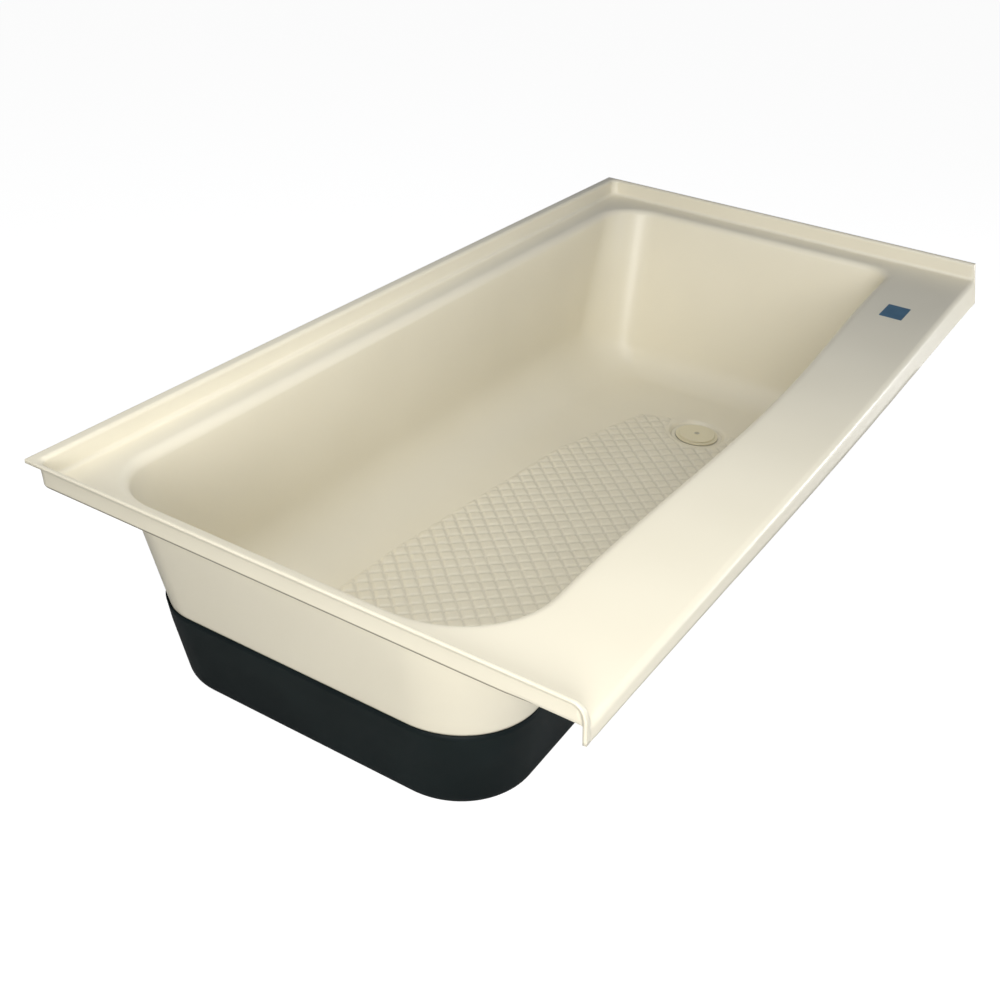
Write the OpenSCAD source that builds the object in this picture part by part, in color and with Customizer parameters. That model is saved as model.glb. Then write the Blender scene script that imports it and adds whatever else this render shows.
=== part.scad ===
// Bathtub with a tiling lip on three sides, a wide front ledge and a black lower pan.
// Millimetres, +Z up, X along the tub. The origin is under the middle of the part, on the ground.
// The drain end is at +X and the open front of the tub is at -Y.

/* [Overall] */
// Length over the lips
tub_length = 1371.6; // [1200:1:1600]
// Width from the front ends of the lips to the back flange
tub_width = 685.8; // [620:1:800]
// Height from the ground to the top of the lips
tub_height = 330; // [290:1:420]
// Thickness of the formed sheet
sheet = 4; // [3:0.5:6]

/* [Lip] */
// Height of the lip over the deck
lip_height = 27; // [20:1:50]
// Width of the flange turned out at the top of the back lip
back_flange = 10; // [3:1:24]
// Width of the bead turned out at the top of the two end lips
end_flange = 3; // [2.5:0.5:12]
// How far a lip's face leans in from its top to its foot
lip_lean = 1; // [0.5:0.5:6]
// Radius under the flange, where it bends into the lip
lip_bend_radius = 1.2; // [0.8:0.1:1.4]
// Radius of the cove between the lip and the deck
lip_cove_radius = 10; // [5:1:14]
// Radius in plan of the lip's inner face in the two back corners
lip_corner_radius = 12; // [5:1:24]
// Radius that rounds off the front end of the near lip
lip_end_radius = 14; // [8:1:18]

/* [Basin opening] */
// Near wall of the basin, from the near end of the tub
near_inset = 46; // [42:1:80]
// Far wall of the basin, from the far end of the tub
far_inset = 54; // [46:1:90]
// Front wall of the basin, from the front ends of the lips
front_inset = 121; // [110:1:150]
// Back wall of the basin, from the back of the tub
back_inset = 59; // [50:1:90]
// Radius in plan of the near front corner, at the rim
near_front_corner_radius = 117; // [90:1:125]
// How much smaller that radius is where the walls meet their coves
near_front_corner_taper = 32; // [0:1:35]
// Radius in plan of the far front corner
far_front_corner_radius = 40; // [34:1:60]
// Radius in plan of the two back corners
back_corner_radius = 76; // [60:1:100]
// Radius of the rounded rim between the deck and the walls
rim_radius = 14; // [8:1:16]
// How far the front rim bows forward at the middle of its length
rim_bow = 18; // [0:1:20]

/* [Basin walls and floor] */
// Slope of the near wall from upright
near_draft = 13; // [5:0.5:20]
// Slope of the far wall from upright
far_draft = 15; // [5:0.5:20]
// Slope of the front wall from upright
front_draft = 6.5; // [3:0.5:12]
// Slope of the back wall from upright
back_draft = 2.5; // [1:0.5:10]
// Radius between the end walls and the floor
end_cove_radius = 60; // [40:1:75]
// Radius between the front wall and the floor
front_cove_radius = 50; // [35:1:65]
// Radius between the back wall and the floor
back_cove_radius = 88; // [45:1:100]
// Height of the floor's top over the ground, beside the drain
floor_height = 30; // [27:1:40]
// Fall of the floor towards the drain, per metre of length
floor_fall = 16; // [5:1:22]

/* [Drain] */
// Distance of the drain from the far end
drain_from_end = 302; // [260:1:380]
// Distance of the drain from the front ends of the lips
drain_from_front = 324; // [290:1:400]
// Radius of the recess round the drain, at the floor
recess_radius = 48; // [44:1:56]
// Depth of the recess
recess_depth = 6; // [4:0.5:6]
// Radius of the drain hole in the shell
drain_hole_radius = 25.4; // [24.5:0.1:27]
// Radius of the waste fitting's flange
waste_flange_radius = 36; // [33:0.5:38]
// Thickness of the waste fitting's flange
waste_flange_thickness = 2; // [2:0.5:4]
// Outer radius of the waste fitting's threaded body
waste_body_radius = 23.4; // [22.5:0.1:24]
// Inner radius of the waste fitting's throat
waste_throat_radius = 19.5; // [18:0.5:20.5]
// Outer radius of the outlet below the locknut
outlet_radius = 21.5; // [20.8:0.1:22.3]
// Travel of the stopper from closed to open
stopper_travel = 8; // [5:0.5:10]
// Radius of the stopper's cap
cap_radius = 31; // [26:0.5:33]
// Thickness of the stopper's cap
cap_thickness = 2; // [2:0.5:4]

/* [Ledge and apron] */
// Radius of the ledge's rounded front edge
ledge_edge_radius = 9; // [6:1:14]
// Depth of the apron's lower edge under the lips' tops, at the near end
apron_near_depth = 42; // [40:1:50]
// The same depth at the far end
apron_far_depth = 66; // [48:1:80]
// How far the ledge's front edge stands before the lips, at the far end
ledge_far_proud = 7; // [2:1:10]
// How far the apron's lower edge stands before the lips, at the near end
apron_near_proud = 4; // [3:1:8]
// The same at the far end
apron_far_proud = 16; // [12:1:22]
// How far the ledge and apron bow forward at the middle
ledge_bow = 4; // [0:0.5:8]
// Width of the stiffener under the ledge
stiffener_width = 56; // [40:1:60]
// Thickness of the stiffener under the ledge
stiffener_thickness = 18; // [10:1:25]

/* [Lower pan and bedding] */
// Height of the black pan's upper edge over the ground
pan_height = 131; // [80:1:180]
// Thickness of the pan
pan_thickness = 2; // [1.5:0.5:4]
// Radius of the pan's lower edge
pan_edge_radius = 18; // [10:1:28]
// Gap between the pan and the shell
pan_gap = 1; // [0.8:0.1:1.5]
// Thickness of the board on the pan's floor
board_thickness = 9; // [6:0.5:10]
// Radius of the service opening round the drain, in the pan and the bedding
service_radius = 52; // [46:1:60]

/* [Label] */
// Length of the plain label
label_length = 56; // [30:1:80]
// Width of the plain label
label_width = 35; // [20:1:45]
// Distance of the label's middle from the far end
label_from_end = 237; // [120:1:400]
// Distance of the label's middle from the front ends of the lips
label_from_front = 61; // [40:1:66]

/* [Hidden] */

round_steps = 96;
cut = 1;
corner_steps = 9;
long_steps = 12;
short_steps = 5;
rim_steps = 4;
cove_steps = 6;
bend_steps = 4;
apron_stations = 8;

cream = [0.93, 0.89, 0.74];
waste_cream = [0.80, 0.75, 0.58];
near_black = [0.13, 0.16, 0.16];
plywood_tan = [0.72, 0.58, 0.40];
foam_white = [0.88, 0.88, 0.84];
label_blue = [0.10, 0.30, 0.50];
rubber_black = [0.08, 0.08, 0.08];
fibre_brown = [0.55, 0.42, 0.30];
brass_yellow = [0.75, 0.62, 0.30];
steel_grey = [0.70, 0.71, 0.72];

deck_top = tub_height - lip_height;
deck_under = deck_top - sheet;
front_reach = max(apron_far_proud, apron_near_proud + ledge_bow);
middle_y = (tub_width - front_reach) / 2;
drain_x = tub_length - drain_from_end;
drain_y = drain_from_front;

// Walls in the order near, far, front, back: where each meets the deck's plane, and the way inwards.
wall_edge = [near_inset, tub_length - far_inset, front_inset, tub_width - back_inset];
wall_inward = [1, -1, 1, -1];
wall_draft = [near_draft, far_draft, front_draft, back_draft];
cove_radius = [end_cove_radius, end_cove_radius, front_cove_radius, back_cove_radius];
wall_count = 4;

function floor_top(x) = floor_height + floor_fall * (drain_x - x) / 1000;
middle_floor = floor_top(tub_length / 2);
mean_draft = (near_draft + far_draft) / 2;
end_run = (deck_top - floor_height) * tan(mean_draft);
near_floor = floor_top(wall_edge[0] + end_run);
far_floor = floor_top(wall_edge[1] - end_run);
wall_floor = [near_floor, far_floor, middle_floor, middle_floor];
wall_depth = [for (i = [0 : wall_count - 1]) deck_top - wall_floor[i]];

// A ring is [wall positions, corner radii, heights, front bow, 1 where heights start at the floor].
// Where they do, the front and back walls stand back for the floor's fall, so that they stay flat.
// Corners in the order far back, near back, near front, far front: the two walls that each one joins.
corner_walls = [[1, 3], [0, 3], [0, 2], [1, 2]];
corner_count = 4;
near_front = 2;
corner_radii = [back_corner_radius, back_corner_radius, near_front_corner_radius, far_front_corner_radius];
corner_tapers = [0, 0, near_front_corner_taper, 0];

function ring_height(ring, h, x) = ring[4] == 1 ? floor_top(x) + h : h;

function corner_point(ring, corner, angle) =
    let (xw = corner_walls[corner][0],
         yw = corner_walls[corner][1],
         r = ring[1][corner],
         x = ring[0][xw] + wall_inward[xw] * r + r * cos(angle),
         lift = ring[4] * (floor_top(x) - middle_floor),
         y = ring[0][yw] + wall_inward[yw] * (r - lift * tan(wall_draft[yw])) + r * sin(angle),
         share = pow(cos(angle), 2),
         h = share * ring[2][xw] + (1 - share) * ring[2][yw])
    [x, y, ring_height(ring, h, x)];

function side_points(ring, corner) =
    let (a = corner_point(ring, corner, 90 * (corner + 1)),
         b = corner_point(ring, (corner + 1) % corner_count, 90 * (corner + 1)),
         steps = corner % 2 == 0 ? long_steps : short_steps,
         bow = corner == near_front ? ring[3] : 0)
    [for (j = [1 : steps - 1])
        let (t = j / steps,
             p = a + (b - a) * t,
             lean = bow * (1 - cos(360 * t)) / 2)
        [p.x, p.y - lean, p.z]];

function ring_points(ring) =
    [for (k = [0 : corner_count - 1])
        each concat(
            [for (i = [0 : corner_steps]) corner_point(ring, k, 90 * (k + i / corner_steps))],
            side_points(ring, k))];

// Joins rings of equal length into one closed skin.
// Each end is closed by a zigzag between the ring's two halves.
module loft(rings) {
    count = len(rings[0]);
    last = len(rings) - 1;
    base = last * count;
    polyhedron(
        points = [for (r = rings) each r],
        faces = concat(
            [for (i = [0 : count / 2 - 2])
                each [[count - 1 - i, count - 2 - i, i + 1],
                      [count - 1 - i, i + 1, i]]],
            [for (j = [0 : last - 1]) for (i = [0 : count - 1])
                let (k = (i + 1) % count)
                each [[j * count + i, (j + 1) * count + k, (j + 1) * count + i],
                      [j * count + i, j * count + k, (j + 1) * count + k]]],
            [for (i = [0 : count / 2 - 2])
                each [[base + i + 1, base + count - 2 - i, base + count - 1 - i],
                      [base + i, base + i + 1, base + count - 1 - i]]]),
        convexity = 10);
}

function shifted(insets) = [for (i = [0 : wall_count - 1]) wall_edge[i] + wall_inward[i] * insets[i]];

function radii_for(inset, pull = 1, taper = 0) =
    [for (k = [0 : corner_count - 1])
        max(corner_radii[k] - corner_tapers[k] * taper - inset * pull, sheet)];

// The rim's arc, from the deck (t = 0) down to the wall (t = 1).
// Off is 0 on the wet side and the sheet behind it.
function rim_ring(t, off) =
    let (sweep = [for (a = wall_draft) (90 - a) * t],
         r = rim_radius - off,
         start = [for (a = wall_draft) -rim_radius * tan((90 - a) / 2)],
         insets = [for (i = [0 : wall_count - 1]) start[i] + r * sin(sweep[i])],
         mean = -rim_radius * tan((90 - mean_draft) / 2) + r * sin((90 - mean_draft) * t))
    [shifted(insets), radii_for(mean),
     [for (s = sweep) deck_top - rim_radius + r * cos(s)], rim_bow, 0];

// The cove's arc, from the wall (t = 1) down to the floor (t = 0).
cove_pull = 0.7;
mean_cove = (end_cove_radius + front_cove_radius) / 2;

function cove_inset(i, beta, off) =
    wall_depth[i] * tan(wall_draft[i]) + cove_radius[i] * tan((90 - wall_draft[i]) / 2)
    - (cove_radius[i] + off) * sin(beta);

function cove_ring(t, off) =
    let (beta = [for (a = wall_draft) (90 - a) * t],
         mean_beta = (90 - mean_draft) * t,
         mean = mean_cove * tan((90 - mean_draft) / 2) - (mean_cove + off) * sin(mean_beta))
    [shifted([for (i = [0 : wall_count - 1]) cove_inset(i, beta[i], off)]),
     radii_for(mean, cove_pull, 1),
     [for (i = [0 : wall_count - 1]) cove_radius[i] - (cove_radius[i] + off) * cos(beta[i])],
     0, 1];

// Where the deck's flat part round the rim ends, inside the ring that the deck plate overlaps.
rim_margin = 8;
plate_overlap = 4;
rim_reach = rim_radius * tan((90 - mean_draft) / 2);

function deck_ring(out, z) =
    let (edge = [for (a = wall_draft) -rim_radius * tan((90 - a) / 2) - out])
    [shifted(edge), radii_for(-rim_reach - out), [z, z, z, z], rim_bow, 0];

// Stations of the floor's outer ring, drawn in to a circle round the drain.
function drain_circle(outer, r, z, on_floor) =
    [for (p = outer)
        let (d = [p.x - drain_x, p.y - drain_y],
             u = d / norm(d),
             x = drain_x + r * u.x,
             y = drain_y + r * u.y)
        [x, y, (on_floor ? floor_top(x) : 0) + z]];

recess_slope = 5;
recess_bevel = 1;
recess_floor = floor_height - recess_depth;
recess_floor_radius = recess_radius - recess_slope;

function basin_rings() =
    let (wet = [for (i = [0 : cove_steps]) ring_points(cove_ring(i / cove_steps, 0))],
         dry = [for (i = [0 : cove_steps]) ring_points(cove_ring(i / cove_steps, sheet))],
         edge = wet[0],
         under = dry[0])
    concat(
        [drain_circle(edge, recess_floor_radius, recess_floor, false),
         drain_circle(edge, recess_radius - recess_bevel, -recess_bevel, true),
         drain_circle(edge, recess_radius + recess_bevel, 0, true)],
        wet,
        [for (i = [rim_steps : -1 : 0]) ring_points(rim_ring(i / rim_steps, 0))],
        [ring_points(deck_ring(rim_margin, deck_top)),
         ring_points(deck_ring(rim_margin, deck_under))],
        [for (i = [0 : rim_steps]) ring_points(rim_ring(i / rim_steps, sheet))],
        backwards(dry),
        [drain_circle(under, recess_radius + sheet, -sheet, true),
         drain_circle(under, recess_floor_radius + sheet, recess_floor - sheet, false)]);

// One point of the lip's section is [distance in from the edge, height, radius of the back corners].
flange_edge = 0.8;
tip_corner = 1.5;
plate_bite = 2;

// The section's wet side, from the flange's edge down to the lip's foot in the deck.
function lip_wet_side(flange) =
    let (bend = lip_bend_radius + sheet,
         foot = flange + sheet + lip_lean)
    concat(
        [[0, tub_height - flange_edge, tip_corner],
         [flange_edge, tub_height, tip_corner]],
        [for (i = [0 : bend_steps])
            let (a = 90 * i / bend_steps)
            [flange - lip_bend_radius + bend * sin(a),
             tub_height - bend + bend * cos(a), lip_corner_radius]],
        [for (i = [0 : bend_steps])
            let (a = 90 * i / bend_steps, step = lip_cove_radius * (1 - cos(a)))
            [foot + step, deck_top + lip_cove_radius * (1 - sin(a)), lip_corner_radius + step]]);

// Its dry side, with as many points, matched to those of the wet side.
function lip_dry_side(flange) =
    let (foot = flange + lip_lean)
    concat(
        [[0, tub_height - sheet + flange_edge, tip_corner],
         [flange_edge, tub_height - sheet, tip_corner]],
        [for (i = [0 : bend_steps])
            let (a = 90 * i / bend_steps)
            [flange - lip_bend_radius + lip_bend_radius * sin(a),
             tub_height - sheet - lip_bend_radius + lip_bend_radius * cos(a), lip_corner_radius + sheet]],
        [[foot, deck_top + lip_cove_radius, lip_corner_radius + sheet],
         [foot, deck_top, lip_corner_radius + sheet],
         [foot, deck_under, lip_corner_radius + sheet],
         [foot + sheet, deck_under, lip_corner_radius],
         [foot + sheet + lip_cove_radius, deck_top - plate_bite, lip_corner_radius + lip_cove_radius]]);

function backwards(list) = [for (i = [len(list) - 1 : -1 : 0]) list[i]];

function lip_section(flange) = concat(lip_wet_side(flange), backwards(lip_dry_side(flange)));

end_lip = lip_section(end_flange);
back_lip = lip_section(back_flange);

function lip_share(z) = max(0, (z - deck_top) / lip_height);

// The front end of the near lip drops in a quarter round.
function lip_end_drop(y) = lip_end_radius - sqrt(pow(lip_end_radius, 2) - pow(lip_end_radius - y, 2));

function lip_near_front(y) =
    [for (p = end_lip) [p[0], y, p[1] - lip_end_drop(y) * lip_share(p[1])]];

// A station of the corner between an end lip and the back lip.
// Side is 1 at the near end and -1 at the far end.
function lip_back_corner(side, angle) =
    [for (i = [0 : len(end_lip) - 1])
        let (r = end_lip[i][2],
             x = side * (end_lip[i][0] + r) + (side < 0 ? tub_length : 0))
        [x + r * cos(angle), tub_width - back_lip[i][0] - r + r * sin(angle), end_lip[i][1]]];

function lip_far_front() =
    [for (p = end_lip) [tub_length - p[0], -ledge_far_proud * (1 - lip_share(p[1])), p[1]]];

lip_end_steps = 5;
lip_corner_steps = 4;

function lip_rings() = concat(
    [for (i = [0 : lip_end_steps]) lip_near_front(lip_end_radius * (1 - cos(90 * i / lip_end_steps)))],
    [for (i = [0 : lip_corner_steps]) lip_back_corner(1, 180 - 90 * i / lip_corner_steps)],
    [for (i = [0 : lip_corner_steps]) lip_back_corner(-1, 90 - 90 * i / lip_corner_steps)],
    [lip_far_front()]);

// Section of the ledge's front edge and the apron at a share t of the length.
ledge_lap = 30;

function apron_section(t) =
    let (bow = ledge_bow * (1 - cos(360 * t)) / 2,
         edge = [-ledge_far_proud * t - bow, deck_top],
         foot = [-apron_near_proud - (apron_far_proud - apron_near_proud) * t - bow,
                 tub_height - apron_near_depth - (apron_far_depth - apron_near_depth) * t],
         run = foot - edge,
         along = run / norm(run),
         flare = atan2(-run.x, -run.y),
         across = [cos(flare), -sin(flare)],
         turn = 90 - flare,
         reach = ledge_edge_radius * tan(turn / 2),
         centre = [edge.x + reach, deck_top - ledge_edge_radius])
    concat(
        [[ledge_lap, deck_top]],
        [for (i = [0 : bend_steps])
            let (a = turn * i / bend_steps)
            centre + ledge_edge_radius * [-sin(a), cos(a)]],
        [foot, foot + sheet * across],
        [for (i = [bend_steps : -1 : 0])
            let (a = turn * i / bend_steps)
            centre + (ledge_edge_radius - sheet) * [-sin(a), cos(a)]],
        [[ledge_lap, deck_under]]);

function apron_rings() =
    [for (i = [0 : apron_stations])
        [for (p = apron_section(i / apron_stations)) [tub_length * i / apron_stations, p.x, p.y]]];

module in_place() {
    translate([-tub_length / 2, -middle_y, 0])
        children();
}

module at_drain() {
    in_place()
        translate([drain_x, drain_y, 0])
            children();
}

module deck_plate() {
    end_edge = end_flange + lip_lean + sheet / 2;
    back_edge = back_flange + lip_lean + sheet / 2;
    hole = ring_points(deck_ring(rim_margin - plate_overlap, 0));
    translate([0, 0, deck_under])
        linear_extrude(sheet)
            difference() {
                translate([end_edge, ledge_lap - plate_overlap])
                    square([tub_length - 2 * end_edge, tub_width - ledge_lap + plate_overlap - back_edge]);
                polygon([for (p = hole) [p.x, p.y]]);
            }
}

module tub_shell() {
    color(cream)
        in_place()
            difference() {
                union() {
                    loft(basin_rings());
                    deck_plate();
                    loft(backwards(lip_rings()));
                    loft(backwards(apron_rings()));
                }
                translate([drain_x, drain_y, 0])
                    cylinder(r = drain_hole_radius, h = floor_height, $fn = round_steps);
            }
}

// The front wall's bow and the corners' radii change from the rim down to the cove. The pan takes
// the bow at the low end of the floor and the radii at its high end, so that it clears the shell.
cove_rise = front_cove_radius * (1 - sin(front_draft));
wall_high = deck_top - rim_radius * (1 - sin(front_draft));

function wall_share(z, low) = max(0, (z - low) / (wall_high - low));

radii_low = cove_ring(1, sheet)[1];
radii_high = rim_ring(1, sheet)[1];

function pan_radii(share, out) =
    [for (k = [0 : corner_count - 1])
        max(radii_low[k] + (radii_high[k] - radii_low[k]) * share + out, sheet)];

// The pan follows the shell's outer walls, extended straight down to the ground.
function pan_ring(z, off, draw_in) =
    let (insets = [for (i = [0 : wall_count - 1])
            (deck_top - z) * tan(wall_draft[i]) - (sheet + off) / cos(wall_draft[i]) + draw_in])
    [shifted(insets), pan_radii(wall_share(z, near_floor + cove_rise), off - draw_in),
     [z, z, z, z], rim_bow * wall_share(z, far_floor + cove_rise), 0];

function pan_edge(off, lowest) =
    let (r = pan_edge_radius - (pan_gap + pan_thickness - off))
    [for (i = [0 : bend_steps])
        let (a = 90 * i / bend_steps)
        ring_points(pan_ring(lowest + r * (1 - sin(a)), off, r * (1 - cos(a))))];

pan_steps = 6;

// Rings of the pan's wall from its upper edge down to where its lower edge starts to round.
function pan_wall(off) =
    [for (i = [0 : pan_steps - 1])
        let (z = pan_height - (pan_height - pan_edge_radius) * i / pan_steps)
        ring_points(pan_ring(z, off, 0))];

function pan_rings() =
    let (outer = pan_edge(pan_gap + pan_thickness, 0),
         inner = pan_edge(pan_gap, pan_thickness))
    concat(
        [drain_circle(inner[bend_steps], service_radius / 2, pan_thickness, false)],
        backwards(inner),
        backwards(pan_wall(pan_gap)),
        pan_wall(pan_gap + pan_thickness),
        outer,
        [drain_circle(outer[bend_steps], service_radius / 2, 0, false)]);

module base_pan() {
    color(near_black)
        in_place()
            difference() {
                loft(pan_rings());
                translate([drain_x, drain_y, -cut])
                    cylinder(r = service_radius, h = pan_thickness + 2 * cut, $fn = round_steps);
            }
}

// Outline of the shell's flat floor, seen from above, drawn in by a margin.
bed_margin = 6;
bed_corner = 60;
bed_low = shifted([for (i = [0 : wall_count - 1]) cove_inset(i, 0, 0) + bed_margin]);
board_spread = 24;
board_top = pan_thickness + board_thickness;

module bed_outline(spread) {
    low = [bed_low[0] - spread, bed_low[2] - spread];
    high = [bed_low[1] + spread, bed_low[3] + spread];
    translate(low + [bed_corner, bed_corner])
        for (x = [0, high.x - low.x - 2 * bed_corner])
            for (y = [0, high.y - low.y - 2 * bed_corner])
                translate([x, y])
                    circle(r = bed_corner, $fn = round_steps);
    translate([low.x + bed_corner, low.y])
        square([high.x - low.x - 2 * bed_corner, high.y - low.y]);
    translate([low.x, low.y + bed_corner])
        square([high.x - low.x, high.y - low.y - 2 * bed_corner]);
}

module floor_board() {
    color(plywood_tan)
        in_place()
            translate([0, 0, pan_thickness])
                linear_extrude(board_thickness)
                    difference() {
                        bed_outline(board_spread);
                        translate([drain_x, drain_y])
                            circle(r = service_radius, $fn = round_steps);
                    }
}

// A foam wedge between the board and the sloping underside of the floor.
module bedding_pad() {
    tall = floor_top(bed_low[0]);
    side = [[bed_low[0], board_top],
            [bed_low[1], board_top],
            [bed_low[1], floor_top(bed_low[1]) - sheet],
            [bed_low[0], tall - sheet]];
    color(foam_white)
        in_place()
            difference() {
                intersection() {
                    linear_extrude(tall)
                        bed_outline(0);
                    translate([0, bed_low[3], 0])
                        rotate([90, 0, 0])
                            linear_extrude(bed_low[3] - bed_low[2])
                                polygon(side);
                }
                translate([drain_x, drain_y, 0])
                    cylinder(r = service_radius, h = tall, $fn = round_steps);
            }
}

stiffener_front = 22;
stiffener_end_gap = 60;

module ledge_stiffener() {
    color(plywood_tan)
        in_place()
            translate([stiffener_end_gap, stiffener_front, deck_under - stiffener_thickness])
                cube([tub_length - 2 * stiffener_end_gap, stiffener_width, stiffener_thickness]);
}

label_thickness = 0.3;
label_corner = 2;

module size_label() {
    color(label_blue)
        in_place()
            translate([tub_length - label_from_end, label_from_front, deck_top])
                linear_extrude(label_thickness)
                    rounded_plate(label_length, label_width, label_corner);
}

module rounded_plate(length, width, corner) {
    square([length - 2 * corner, width], center = true);
    square([length, width - 2 * corner], center = true);
    for (x = [-1, 1])
        for (y = [-1, 1])
            translate([x * (length / 2 - corner), y * (width / 2 - corner)])
                circle(r = corner, $fn = round_steps);
}

// Heights of the waste fitting, counted from the recess's floor.
gasket_thickness = 1.5;
washer_thickness = 3;
friction_thickness = 1;
locknut_height = 7;
locknut_radius = 33;
thread_clearance = 0.05;
body_end = 3;
recess_under = recess_floor - sheet;
flange_bottom = recess_floor + gasket_thickness;
flange_top = flange_bottom + waste_flange_thickness;
washer_bottom = recess_under - washer_thickness;
friction_bottom = washer_bottom - friction_thickness;
locknut_bottom = friction_bottom - locknut_height;
seat_width = 4;
seat_dip = 1;
seat_bottom = flange_top - seat_dip - seat_width;
flange_rim = 1.2;
flange_slope = 8;

// Cross bars in the throat carry the latch barrel in their hub.
hub_radius = 9;
hub_height = 6;
hub_bottom = locknut_bottom;
bar_width = 3;
bar_bite = 1;
bar_count = 4;
bar_length = waste_throat_radius - hub_radius + 2 * bar_bite;
barrel_radius = 5;

module waste_body() {
    color(waste_cream)
        at_drain() {
            rotate_extrude($fn = round_steps)
                polygon([[waste_throat_radius, body_end],
                         [outlet_radius, body_end],
                         [outlet_radius, locknut_bottom],
                         [waste_body_radius, locknut_bottom],
                         [waste_body_radius, flange_bottom],
                         [waste_flange_radius, flange_bottom],
                         [waste_flange_radius, flange_bottom + flange_rim],
                         [waste_flange_radius - flange_slope, flange_top],
                         [waste_throat_radius + seat_width, flange_top - seat_dip],
                         [waste_throat_radius, seat_bottom]]);
            difference() {
                union() {
                    translate([0, 0, hub_bottom])
                        cylinder(r = hub_radius, h = hub_height, $fn = round_steps);
                    for (i = [0 : bar_count - 1])
                        rotate(360 * i / bar_count)
                            translate([hub_radius - bar_bite, -bar_width / 2, hub_bottom])
                                cube([bar_length, bar_width, hub_height]);
                }
                translate([0, 0, hub_bottom - cut])
                    cylinder(r = barrel_radius + thread_clearance, h = hub_height + 2 * cut,
                             $fn = round_steps);
            }
        }
}

module ring_piece(inner, outer, bottom, height) {
    at_drain()
        translate([0, 0, bottom])
            difference() {
                cylinder(r = outer, h = height, $fn = round_steps);
                translate([0, 0, -cut])
                    cylinder(r = inner, h = height + 2 * cut, $fn = round_steps);
            }
}

gasket_set_back = 1;
washer_radius = 32;

module flange_gasket() {
    color(rubber_black)
        ring_piece(drain_hole_radius, waste_flange_radius - gasket_set_back, recess_floor,
                   gasket_thickness);
}

module shell_washer() {
    color(rubber_black)
        ring_piece(waste_body_radius + thread_clearance, washer_radius, washer_bottom, washer_thickness);
}

module friction_ring() {
    color(fibre_brown)
        ring_piece(waste_body_radius + thread_clearance, washer_radius, friction_bottom,
                   friction_thickness);
}

lug_count = 4;
lug_turn = 45;
lug_width = 9;
lug_reach = 4;
lug_bite = 1;

module waste_locknut() {
    color(waste_cream)
        at_drain()
            translate([0, 0, locknut_bottom])
                difference() {
                    union() {
                        cylinder(r = locknut_radius, h = locknut_height, $fn = round_steps);
                        for (i = [0 : lug_count - 1])
                            rotate(lug_turn + 360 * i / lug_count)
                                translate([locknut_radius - lug_bite, -lug_width / 2, 0])
                                    cube([lug_reach + lug_bite, lug_width, locknut_height]);
                    }
                    translate([0, 0, -cut])
                        cylinder(r = waste_body_radius + thread_clearance, h = locknut_height + 2 * cut,
                                 $fn = round_steps);
                }
}

// The latch: a barrel in the hub, a sprung spindle in the barrel, and the cap on the spindle.
slide_clearance = 0.3;
barrel_wall = 1.2;
barrel_bottom = body_end;
barrel_floor = 1;
barrel_bore = barrel_radius - barrel_wall;
collar_height = 2.2;
spindle_radius = 2.2;
spindle_foot = 2;
spring_bottom = barrel_bottom + barrel_floor;
spring_height = 4.5;
spring_wire = 0.8;
spring_clearance = 0.1;
spindle_bottom = spring_bottom + spring_height;
collar_bottom = spindle_bottom + spindle_foot + stopper_travel + slide_clearance;
barrel_top = collar_bottom + collar_height;
seal_gap = 0.3;
cap_bottom = flange_top + seal_gap;
seal_radius = waste_throat_radius + seat_width / 2;
seal_bottom = seat_bottom + seat_width / 2 + seal_gap;
cap_top = cap_bottom + cap_thickness;
cap_edge = 1;
cap_dome = 0.4;
screw_head_radius = 4.5;
screw_head_height = 1.2;
screw_radius = 1.2;
screw_grip = 6;
screw_slot_width = 1;
screw_slot_depth = 0.6;
head_clearance = 0.1;

module latch_barrel() {
    color(brass_yellow)
        at_drain()
            rotate_extrude($fn = round_steps)
                polygon([[0, barrel_bottom],
                         [barrel_radius, barrel_bottom],
                         [barrel_radius, barrel_top],
                         [spindle_radius + slide_clearance, barrel_top],
                         [spindle_radius + slide_clearance, collar_bottom],
                         [barrel_bore, collar_bottom],
                         [barrel_bore, spring_bottom],
                         [0, spring_bottom]]);
}

module latch_spring() {
    outer = barrel_bore - spring_clearance;
    color(steel_grey)
        ring_piece(outer - spring_wire, outer, spring_bottom, spring_height);
}

module latch_spindle() {
    color(brass_yellow)
        at_drain()
            rotate_extrude($fn = round_steps)
                polygon([[0, spindle_bottom],
                         [barrel_bore - slide_clearance, spindle_bottom],
                         [barrel_bore - slide_clearance, spindle_bottom + spindle_foot],
                         [spindle_radius, spindle_bottom + spindle_foot],
                         [spindle_radius, cap_bottom],
                         [screw_radius + thread_clearance, cap_bottom],
                         [screw_radius + thread_clearance, cap_bottom - screw_grip],
                         [0, cap_bottom - screw_grip]]);
}

module stopper_cap() {
    color(waste_cream)
        at_drain()
            rotate_extrude($fn = round_steps)
                polygon([[screw_radius + thread_clearance, cap_bottom],
                         [cap_radius - cap_edge, cap_bottom],
                         [cap_radius, cap_bottom + cap_edge],
                         [cap_radius, cap_top - cap_edge - cap_dome],
                         [cap_radius - cap_edge, cap_top - cap_dome],
                         [screw_head_radius + head_clearance, cap_top],
                         [screw_head_radius + head_clearance, cap_top - screw_head_height],
                         [screw_radius + thread_clearance, cap_top - screw_head_height]]);
}

module stopper_seal() {
    color(rubber_black)
        ring_piece(spindle_radius + thread_clearance, seal_radius, seal_bottom, cap_bottom - seal_bottom);
}

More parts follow.
